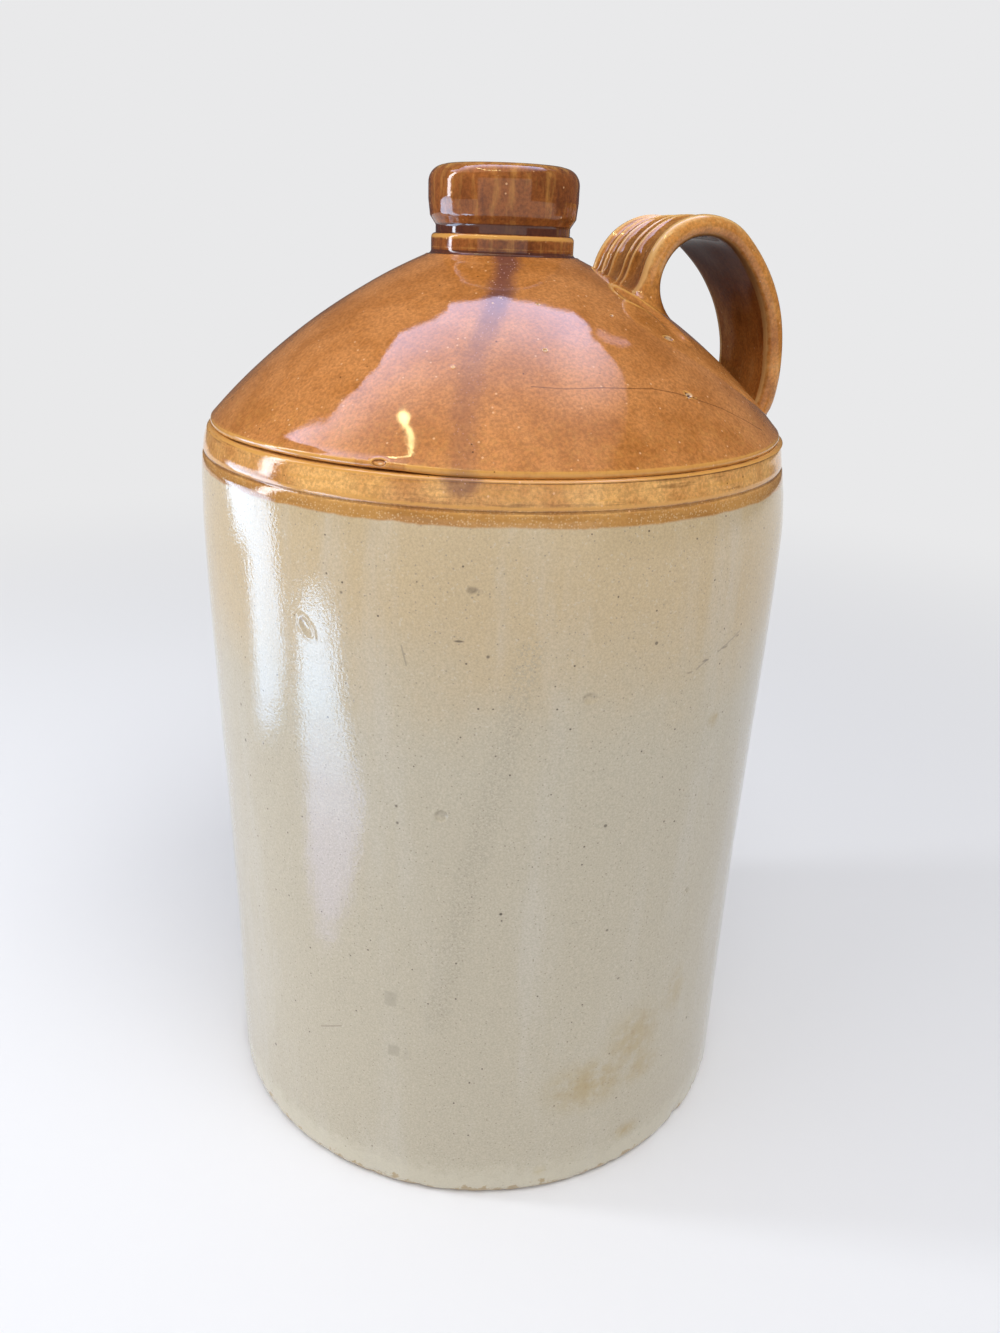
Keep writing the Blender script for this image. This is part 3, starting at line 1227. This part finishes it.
@dataclass
class Handle:
    """The pulled strap handle with its two wiped roots."""

    shape: VesselShape = SHAPE
    root_r: float = 56.4
    rise_angle: float = 97.0
    turns: tuple[Turn, ...] = (Turn(24.4, 93), Turn(29, 42), Turn(68, 60), Turn(22, 38))
    top_w: float = 56.0
    end_w: float = 43.0
    thickness: float = 8.6
    root_len: float = 9.0
    crests: tuple[float, ...] = (-1.0, -0.41, -0.19, 0.30, 0.65, 1.0)
    flute_depths: tuple[float, ...] = (2.1, 0.8, 1.9, 1.8, 2.1)
    face_points: int = 72
    edge_points: int = 12
    inner_points: int = 24
    step: float = 2.4
    root_steps: int = 10
    path_steps: int = 80
    halvings: int = 24
    eye_shift: Point2 = (22.0, 8.0)
    slip: float = 0.7
    path: list[tuple[float, float, float]] = field(default_factory=list)

    def centre_of(self, place: tuple[float, float, float], turn: Turn) -> Point2:
        """Gives the centre of the turn that starts at place, which is x, z and heading."""
        heading = math.radians(place[2])
        return place[0] + turn.radius * math.sin(heading), place[1] - turn.radius * math.cos(heading)

    def place_at(self, distance: float) -> tuple[float, float, float]:
        """Gives the place on the path at a distance from the upper root.

        Args:
            distance: the distance in millimetres.

        Returns:
            x, z and the heading in degrees above level.
        """
        place = (self.root_r, self.shape.shoulder_height(self.root_r), self.rise_angle)
        for number, turn in enumerate(self.turns):
            part = distance if number == len(self.turns) - 1 else min(distance, turn.length)
            centre = self.centre_of(place, turn)
            after = place[2] - math.degrees(part / turn.radius)
            heading = math.radians(after)
            place = (centre[0] - turn.radius * math.sin(heading), centre[1] + turn.radius * math.cos(heading), after)
            distance -= part
            if distance <= 0:
                break
        return place

    @property
    def length(self) -> float:
        """Length of the whole path."""
        return sum(turn.length for turn in self.turns)

    def half_width(self, distance: float) -> float:
        """Gives half the strap's width at a distance from the upper root."""
        u = smooth_step((distance - self.root_len) / (self.length - 2 * self.root_len))
        return (self.top_w + (self.end_w - self.top_w) * u) / 2

    def flute(self, t: float) -> float:
        """Gives how deep the outer face lies at share t of its half width."""
        for depth, a, b in zip(self.flute_depths, self.crests, self.crests[1:]):
            if t <= b:
                s = (t - a) / (b - a)
                return depth * 4 * s * (1 - s)
        return 0.0

    def make_section(self, half_w: float, fluted: float = 1.0) -> list[Point2]:
        """Gives the strap's section as (across, out) points: outer face, round edge, inner face, round edge.

        Args:
            half_w: half its width.
            fluted: how strongly the flutes show, from 0 to 1.

        Returns:
            The points of the closed section.
        """
        edge = self.thickness / 2
        flat = half_w - edge
        outer = [(flat * t, edge - fluted * self.flute(t))
                 for t in (2 * i / self.face_points - 1 for i in range(self.face_points + 1))]
        turns = [math.pi * i / self.edge_points for i in range(1, self.edge_points)]
        far = [(flat + edge * math.sin(a), edge * math.cos(a)) for a in turns]
        inner = [(flat * (1 - 2 * i / self.inner_points), -edge) for i in range(self.inner_points + 1)]
        near = [(-flat - edge * math.sin(a), -edge * math.cos(a)) for a in turns]
        return [*outer, *far, *inner, *near]

    def placed(self, place: tuple[float, float, float], point: Point2) -> Vector:
        """Puts a section point at a place of the path."""
        heading = math.radians(place[2])
        return Vector((place[0] - point[1] * math.sin(heading), point[0], place[1] + point[1] * math.cos(heading)))

    def landed(self, start: Vector, way: Vector, reach: float) -> Vector:
        """Follows a line to the vessel's outside, by halving.

        Args:
            start: a point outside the vessel.
            way: the line's direction.
            reach: a length that ends inside the vessel.

        Returns:
            The point on the vessel, sunk by the slip.
        """
        low, high = 0.0, reach
        for _ in range(self.halvings):
            middle = (low + high) / 2
            at = start + way * middle
            if math.hypot(at.x, at.y) - self.shape.outside(at.z) + self.slip > 0:
                low = middle
            else:
                high = middle
        return start + way * low

    def grow_root(self, piece: bpy.types.Object, distance: float, way: int, side: float, out: float,
                  inward: float) -> None:
        """Draws the selected end of the strap down on to the vessel in a spreading quarter round.

        Args:
            piece: the strap, in edit mode, with its end ring selected.
            distance: the end's place on the path.
            way: 1 along the path, -1 against it.
            side: the spread to each side.
            out: the spread of the outer face.
            inward: the spread of the inner face.
        """
        place = self.place_at(distance)
        heading = math.radians(place[2])
        ahead = Vector((math.cos(heading), 0, math.sin(heading))) * way
        half_w = self.half_width(distance)
        edge = self.thickness / 2
        plain = self.make_section(half_w, 0.0)
        full = self.make_section(half_w)
        straight = [self.landed(self.placed(place, q), ahead, 5 * self.root_len) for q in plain]
        wide = [self.landed(self.placed(place, (q[0] * (1 + side / half_w),
                                                q[1] * (1 + (out if q[1] > 0 else inward) / edge))),
                            ahead, 5 * self.root_len) for q in plain]
        ring = [self.placed(place, q) for q in full]
        rings = []
        for step in range(1, self.root_steps + 1):
            a = math.pi / 2 * step / self.root_steps
            rings.append([p + (s - p) * math.sin(a) + (w - s) * (1 - math.cos(a))
                          for p, s, w in zip(ring, straight, wide)])
        for line in rings:
            bpy.ops.mesh.extrude_edges_move(TRANSFORM_OT_translate={"value": (0, 0, 0)})
            bpy.ops.object.mode_set(mode="OBJECT")
            fresh = [v for v in piece.data.vertices if v.select]
            for vertex, target in zip(sorted(fresh, key=lambda v: v.index), line):
                vertex.co = target * MM
            bpy.ops.object.mode_set(mode="EDIT")
        bpy.ops.mesh.edge_face_add()

    @property
    def eye(self) -> Point2:
        """Middle of the finger hole, as x and z."""
        centre = self.centre_of(self.place_at(self.turns[0].length + self.turns[1].length), self.turns[2])
        return centre[0] + self.eye_shift[0], centre[1] + self.eye_shift[1]

    def press(self, place: Vector) -> Vector:
        """Gives the place of a point of the strap after it was pulled and bent by hand."""
        inward = Vector((self.eye[0] - place.x, 0, self.eye[1] - place.z)).normalized()
        return place + inward * (0.25 + throwing_wobble(place, 15, 0.25))

    def out_at(self, place: Vector) -> tuple[float, float]:
        """Gives how far outside the strap's middle layer a place lies, and how far along its path."""
        if not self.path:
            self.path = [self.place_at(self.length * i / self.path_steps) for i in range(self.path_steps + 1)]
        far, number = min(((at[0] - place.x) ** 2 + (at[1] - place.z) ** 2, i) for i, at in enumerate(self.path))
        nearest = self.path[number]
        heading = math.radians(nearest[2])
        out = (place.z - nearest[1]) * math.cos(heading) - (place.x - nearest[0]) * math.sin(heading)
        return out, self.length * number / self.path_steps

    def inner_share(self, place: Vector) -> float:
        """Gives 1 on the strap's inner face and 0 on its outer face."""
        return smooth_step((-self.out_at(place)[0] - 0.3 * self.thickness) / (0.2 * self.thickness))

    def thin_share(self, place: Vector) -> float:
        """Gives how thin the glaze is over the crests and edges, and how deep it lies in the flutes."""
        out, along = self.out_at(place)
        across = place.y / (self.half_width(along) - self.thickness / 2)
        if abs(across) > 1:
            return 0.85 * math.exp(-((abs(across) - 1.05) / 0.06) ** 2)
        if out < 0:
            return 0.0
        crest = min(abs(across - c) for c in self.crests) * self.half_width(along)
        return 1.15 * math.exp(-(crest / 1.4) ** 2) - 0.38

    def build(self, brown: BrownGlaze) -> bpy.types.Object:
        """Builds the handle.

        Args:
            brown: its glaze.

        Returns:
            The handle.
        """
        first, last = self.root_len, self.length - self.root_len
        section = self.make_section(self.half_width(first))
        start = self.place_at(first)
        bpy.ops.object.select_all(action="DESELECT")
        bpy.ops.mesh.primitive_circle_add(vertices=len(section), radius=self.top_w / 2 * MM)
        piece = bpy.context.active_object
        piece.name = piece.data.name = "strap_handle_skin"
        for vertex, point in zip(piece.data.vertices, section):
            vertex.co = self.placed(start, point) * MM
        bpy.ops.object.mode_set(mode="EDIT")
        bpy.ops.mesh.select_all(action="SELECT")
        at = first
        edge_at = 0.0
        for turn in self.turns:
            turn_start, edge_at = edge_at, edge_at + turn.length
            centre = self.centre_of(self.place_at(turn_start), turn)
            part = min(edge_at, last) - at
            steps = max(1, round(part / self.step))
            for _ in range(steps):
                before, at = at, at + part / steps
                bpy.ops.mesh.spin(steps=1, angle=-part / steps / turn.radius,
                                  center=(centre[0] * MM, 0, centre[1] * MM), axis=(0, 1, 0))
                bpy.ops.transform.resize(value=(1, self.half_width(at) / self.half_width(before), 1),
                                         center_override=(0, 0, 0))
        self.grow_root(piece, last, 1, 3.0, 0.6, 7.0)
        bpy.ops.object.mode_set(mode="OBJECT")
        for vertex in piece.data.vertices:
            vertex.select = vertex.index < len(section)
        for line in piece.data.edges:
            line.select = all(v < len(section) for v in line.vertices)
        for face in piece.data.polygons:
            face.select = False
        bpy.ops.object.mode_set(mode="EDIT")
        self.grow_root(piece, first, -1, 3.5, 2.5, 12.0)
        bpy.ops.mesh.select_all(action="SELECT")
        bpy.ops.mesh.remove_doubles(threshold=MERGE_GAP)
        bpy.ops.mesh.normals_make_consistent(inside=False)
        bpy.ops.object.mode_set(mode="OBJECT")
        moved(piece, self.press)
        smoothed(piece, SHARP_ANGLE)
        mark_relief(piece, 0.3, 1)
        add_relief(piece, self.thin_share)
        store_by(piece, "inner", self.inner_share)
        piece.data.materials.append(brown.material("brown_glaze_handle"))
        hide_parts("strap_handle", "upper_root", "lower_root")
        return piece


# Studio: the corners of what the gloss mirrors, in metres

SKY_OUTLINE = (
    (-2.36, 2.12), (-2.18, 1.87), (-2.03, 1.74), (-1.9, 1.59), (-1.64, 1.2), (-1.48, 1.11), (-1.36, 1.13),
    (-1.19, 1.06), (-1.11, 1.12), (-0.92, 1.05), (-0.86, 1.16), (-0.71, 1.26), (-0.63, 1.33), (-0.48, 1.21),
    (-0.34, 1.14), (-0.19, 1.11), (-0.15, 1.19), (-0.03, 1.13), (0.16, 1.03), (0.35, 0.97), (0.55, 0.89),
    (0.85, 0.87), (1.03, 0.88), (1.2, 0.93), (1.32, 0.8), (1.26, 0.65), (1.35, 0.61), (1.39, 0.51), (1.45, 0.42),
    (1.51, 0.33), (1.46, 0.08), (1.39, -0.26), (1.2, -0.62), (0.6, -1.1), (-0.3, -1.3), (-1.2, -1.1), (-2.0, -0.6),
    (-2.9, 0.9))
LOW_GLINT_OUTLINE = (
    (-1.0, -0.41), (-0.86, -0.54), (-0.68, -0.64), (-0.44, -0.73), (-0.43, -0.77), (-0.66, -0.7), (-0.87, -0.59),
    (-1.03, -0.44))
SMEAR_OUTLINE = ((1.46, 0.85), (1.61, 0.86), (1.9, 1.02), (1.92, 0.97), (1.71, 0.78), (1.47, 0.7), (1.34, 0.72))
GLINT_OUTLINE = (
    (-0.9, 0.33), (-0.96, 0.29), (-0.96, 0.2), (-0.96, 0.06), (-0.95, -0.04), (-0.96, -0.11), (-1.02, -0.24),
    (-1.01, -0.31), (-0.95, -0.42), (-0.86, -0.51), (-0.85, -0.49), (-0.94, -0.38), (-0.97, -0.27), (-0.94, -0.15),
    (-0.92, -0.08), (-0.92, 0.03), (-0.93, 0.14), (-0.87, 0.22), (-0.87, 0.3))

FAR_OUTLINE = (
    (-0.862, 0.829, 0.279), (-0.794, 0.68, 0.218), (-0.72, 0.589, 0.172), (-0.66, 0.475, 0.125),
    (-0.702, 0.353, 0.115), (-0.59, 0.289, 0.063), (-0.521, 0.237, 0.029), (-0.461, 0.205, 0.002),
    (-0.508, 0.093, 0.006), (-0.58, 0.08, 0.034), (-0.666, 0.101, 0.07), (-0.764, 0.138, 0.11),
    (-1.084, 0.269, 0.247), (-1.278, 0.382, 0.333), (-1.556, 0.533, 0.458))
NEAR_OUTLINE = (
    (-0.931, 0.013), (-0.985, -0.079), (-0.953, -0.157), (-0.788, -0.192), (-0.718, -0.183), (-0.549, -0.179),
    (-0.472, -0.188), (-0.384, -0.196), (-0.327, -0.162), (-0.283, -0.118), (-0.258, -0.092), (-0.26, -0.062),
    (-0.288, -0.051), (-0.341, -0.032), (-0.406, -0.028), (-0.485, -0.016), (-0.556, -0.002), (-0.721, 0.014))

# The dark cards round the jug: their height and distance, and the radius of the ceiling, in metres.
ROOM_H, ROOM_R, CEILING_R = 2.7, 3.0, 7.0


def even_glow(code: str) -> Callable[..., Socket]:
    """Gives the builder of one even colour for a card."""
    def build(tree: bpy.types.NodeTree, _: Socket) -> Socket:
        made = add_node(tree, "RGB")
        made.default_value = colour(code)
        return made
    return build


@dataclass
class Studio:
    """Pale floor, soft lamps and the camera."""

    turn: float = -20.0
    away: float = 444.7
    eye_h: float = 391.9
    pan: float = 0.69
    pitch: float = 22.97
    roll: float = 2.10
    lens: float = 36 * 1001 / 1333
    pale: str = "#e9e9ea"
    floor_fade: Point2 = (0.2, 1.3)

    def add_camera(self) -> bpy.types.Object:
        """Stands the camera where the photograph was taken.

        Returns:
            The camera.
        """
        pan, pitch, roll = (math.radians(a) for a in (self.pan, self.pitch, self.roll))
        ahead = Vector((math.sin(pan) * math.cos(pitch), math.cos(pan) * math.cos(pitch), -math.sin(pitch)))
        right = Vector((math.cos(pan), -math.sin(pan), 0))
        up = right.cross(ahead)
        side = right * math.cos(roll) + up * math.sin(roll)
        above = up * math.cos(roll) - right * math.sin(roll)
        made = bpy.data.objects.new("camera", bpy.data.cameras.new("camera"))
        bpy.context.scene.collection.objects.link(made)
        basis = Matrix((side, above, -ahead)).transposed().to_4x4()
        basis.translation = Vector((0, -self.away, self.eye_h)) * MM
        made.matrix_world = Matrix.Rotation(math.radians(self.turn), 4, "Z") @ basis
        made.data.lens = self.lens
        made.data.sensor_width = 36
        made.data.clip_start, made.data.clip_end = 0.01, 100
        bpy.context.scene.camera = made
        return made

    def add_floor(self) -> bpy.types.Object:
        """Lays the pale floor, which runs over into the background and keeps the jug's shadow.

        Returns:
            The floor.
        """
        bpy.ops.object.select_all(action="DESELECT")
        bpy.ops.mesh.primitive_circle_add(vertices=96, radius=40, fill_type="TRIFAN", location=(0, 0, 0))
        floor = bpy.context.active_object
        floor.name = floor.data.name = "floor"
        made, tree, place = start_material("pale_floor", True)
        far = add_node(tree, "VectorMath", {0: place}, out="Value", operation="LENGTH")
        spread = level(tree, far, *self.floor_fade)
        seen = self.seen_ray(tree)
        share = add_node(tree, "Math", {0: spread, 1: seen}, operation="MULTIPLY")
        matt = add_node(tree, "BsdfDiffuse", {"Color": colour(self.pale)})
        glow = add_node(tree, "Emission", {"Color": colour(self.pale)})
        mixed = add_node(tree, "MixShader", {0: share, 1: matt, 2: glow})
        add_node(tree, "OutputMaterial", {"Surface": mixed})
        floor.data.materials.append(made)
        return floor

    def seen_ray(self, tree: bpy.types.NodeTree) -> Socket:
        """Adds the test for rays that show the background: camera, glossy and transmitted ones."""
        path = add_node(tree, "LightPath").node
        two = add_node(tree, "Math", {0: path.outputs["Is Camera Ray"], 1: path.outputs["Is Glossy Ray"]},
                       operation="MAXIMUM")
        return add_node(tree, "Math", {0: two, 1: path.outputs["Is Transmission Ray"]}, operation="MAXIMUM")

    def add_world(self) -> None:
        """Fills the room with soft even light, and shows a pale background."""
        world = bpy.data.worlds.new("studio")
        world.use_nodes = True
        tree = world.node_tree
        tree.nodes.clear()
        shown = add_node(tree, "Background", {"Color": colour(self.pale), "Strength": 1.0})
        fill = add_node(tree, "Background", {"Color": colour("#f4f6ff"), "Strength": 0.47})
        mixed = add_node(tree, "MixShader", {0: self.seen_ray(tree), 1: fill, 2: shown})
        add_node(tree, "OutputWorld", {"Surface": mixed})
        bpy.context.scene.world = world

    def add_lamp(self, name: str, angle: float, height: float, away: float, size: Point2, watts: float,
                 tint: str, aim: Vector = Vector((0, 0, 0.25))) -> bpy.types.Object:
        """Hangs one soft box.

        Args:
            name: the lamp's name.
            angle: degrees round the axis from the handle.
            height: its height above the floor in metres.
            away: its distance from the axis in metres.
            size: its width and height in metres.
            watts: its power.
            tint: its colour.
            aim: the point that it faces.

        Returns:
            The lamp.
        """
        data = bpy.data.lights.new(name, "AREA")
        data.shape = "RECTANGLE"
        data.size, data.size_y = size
        data.energy = watts
        data.color = colour(tint)[:3]
        made = bpy.data.objects.new(name, data)
        bpy.context.scene.collection.objects.link(made)
        made.location = on_jug(angle, away, height)
        made.rotation_euler = (aim - made.location).to_track_quat("-Z", "Y").to_euler()
        return made

    def add_card(self, name: str, outline: Sequence[Sequence[float]], height: float, glow: Callable[..., Socket],
                 strength: float) -> bpy.types.Object:
        """Hangs or lays a bright or dark card that only shows in the glaze's gloss.

        Args:
            name: the card's name.
            outline: its corners as (x, y) or (x, y, z) in metres.
            height: its height in metres where the corners give none.
            glow: builds its colour from the node tree and the place on it.
            strength: how bright it is, where 1 is white.

        Returns:
            The card.
        """
        bpy.ops.object.select_all(action="DESELECT")
        bpy.ops.mesh.primitive_circle_add(vertices=len(outline), radius=1, fill_type="NGON")
        card = bpy.context.active_object
        card.name = card.data.name = name
        for vertex, corner in zip(card.data.vertices, outline):
            vertex.co = (*corner, height)[:3]
        made, tree, place = start_material(name, True)
        shine = add_node(tree, "Emission", {"Color": glow(tree, place), "Strength": strength})
        add_node(tree, "OutputMaterial", {"Surface": shine})
        card.data.materials.append(made)
        card.visible_camera = card.visible_diffuse = card.visible_shadow = card.visible_transmission = False
        return card

    def sky_glow(self, tree: bpy.types.NodeTree, place: Socket) -> Socket:
        """Builds the colour of the bright patch of sky: lilac far off, warmer and dimmer overhead."""
        away = add_node(tree, "VectorMath", {0: place, 1: on_jug(70, 1, 0)}, out="Value", operation="DOT_PRODUCT")
        far = level(tree, away, -0.75, 1.15)
        tint = add_node(tree, "Mix", {"Factor": far, 6: colour("#b89a86"), 7: colour("#c3c8f2")}, out=2,
                        data_type="RGBA")
        aside = add_node(tree, "VectorMath", {0: place, 1: on_jug(-20, 1, 0)}, out="Value", operation="DOT_PRODUCT")
        power = add_node(tree, "Math", {0: level(tree, far, 0.0, 1.0, (0.4, 1.0)), 1: level(tree, aside, 1.6, 0.7)},
                         operation="MULTIPLY")
        return add_node(tree, "VectorMath", {0: tint, "Scale": power}, operation="SCALE")

    def add_reflections(self) -> None:
        """Hangs what the glaze mirrors: a dark ceiling, a patch of sky, a glint and two bright strips of ground."""
        wall_grey = "#4a4d55"
        turns = [math.tau * i / 48 for i in range(48)]
        ring = [(CEILING_R * math.cos(turn), CEILING_R * math.sin(turn)) for turn in turns]
        for card in (("dark_ceiling", ring, ROOM_H, even_glow(wall_grey), 1.0),
                     ("sky_patch", SKY_OUTLINE, 2.5, self.sky_glow, 8.0),
                     ("sky_smear", SMEAR_OUTLINE, 2.49, even_glow("#b7a6c8"), 3.0),
                     ("sun_glint", GLINT_OUTLINE, 2.48, even_glow("#fff3b0"), 34.0),
                     ("sun_glint_low", LOW_GLINT_OUTLINE, 2.48, even_glow("#fff3b0"), 34.0),
                     ("ground_glow_far", FAR_OUTLINE, 0, self.ground_glow, 9.5),
                     ("ground_glow_near", NEAR_OUTLINE, 0.001, self.ground_glow, 12.5)):
            self.add_card(*card)
        for number in range(7):
            edges = [-70 + 40 * (number + k) for k in (0, 1)]
            low, high = ([on_jug(angle, ROOM_R, z) for angle in edges] for z in (0.0, ROOM_H))
            self.add_card(f"grey_flag_{number + 1}", [*low, *reversed(high)], 0, even_glow(wall_grey), 1.0)

    def ground_glow(self, tree: bpy.types.NodeTree, place: Socket) -> Socket:
        """Builds the colour of the sunlit ground: bluish white, fading towards the jug."""
        away = add_node(tree, "VectorMath", {0: place}, out="Value", operation="LENGTH")
        tint = add_node(tree, "Mix", {"Factor": level(tree, away, 0.3, 0.6), 6: colour("#b4b6e4"),
                                      7: colour("#bcdafa")}, out=2, data_type="RGBA")
        rise = add_node(tree, "SeparateXYZ", {0: place}, out="Z")
        power = add_node(tree, "Math", {0: level(tree, away, 0.2, 0.85, (0.3, 1.0)),
                                        1: level(tree, rise, 0.2, 0.4, (1.0, 0.5))}, operation="MULTIPLY")
        return add_node(tree, "VectorMath", {0: tint, "Scale": power}, operation="SCALE")

    def build(self) -> None:
        """Sets up the studio."""
        self.add_camera()
        self.add_floor()
        self.add_world()
        self.add_reflections()
        self.add_lamp("window_left", 160, 0.75, 1.3, (0.16, 1.0), 7, "#f2f7ff")
        overhead = self.add_lamp("overhead", -85, 1.9, 1.0, (1.6, 1.2), 26, "#ffffff")
        fill = self.add_lamp("fill_left", -172, 0.55, 1.3, (1.0, 0.9), 5, "#f6f8ff")
        overhead.visible_glossy = fill.visible_glossy = False
        bpy.context.scene.view_settings.view_transform = "Standard"


def main() -> None:
    """Builds the studio and the jug, and reports each piece."""
    logging.basicConfig(level=logging.INFO, format="%(message)s")
    Studio().build()
    cream, clay = CreamGlaze(), BareClay()
    on_shoulder = BrownGlaze(cracks=(CRACK,), rims=PIT_RIMS, hollows=PIT_HOLLOWS)
    on_band = BrownGlaze(amber="#dfab67", rust="#bd8246", umber="#6b4423", squash=(0.1, 0.1, 1.2), streaks=0.5,
                         streak_mm=2.6, pooled=0.55)
    on_neck = BrownGlaze(amber="#96582a", rust="#74401f", umber="#3f2222", squash=(1.0, 1.0, 0.15), streaks=0.35,
                         streak_mm=5.0)
    on_handle = BrownGlaze(amber="#c98944", rust="#ad6d30", honey="#e2b472", pooled=0.4, squash=(0.5, 1.6, 0.5),
                           streaks=0.25, streak_mm=6.0, has_inner_face=True)
    vessel = Vessel()
    pieces = [
        vessel.floor_disc(clay),
        vessel.barrel(cream, on_band),
        vessel.shoulder(on_shoulder),
        vessel.neck(on_neck),
        vessel.collar(on_neck),
        Handle().build(on_handle),
    ]
    for piece in pieces:
        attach(piece, "root")
        LOG.info("%s: %d faces", piece.name, len(piece.data.polygons))


if __name__ == "__main__":
    main()
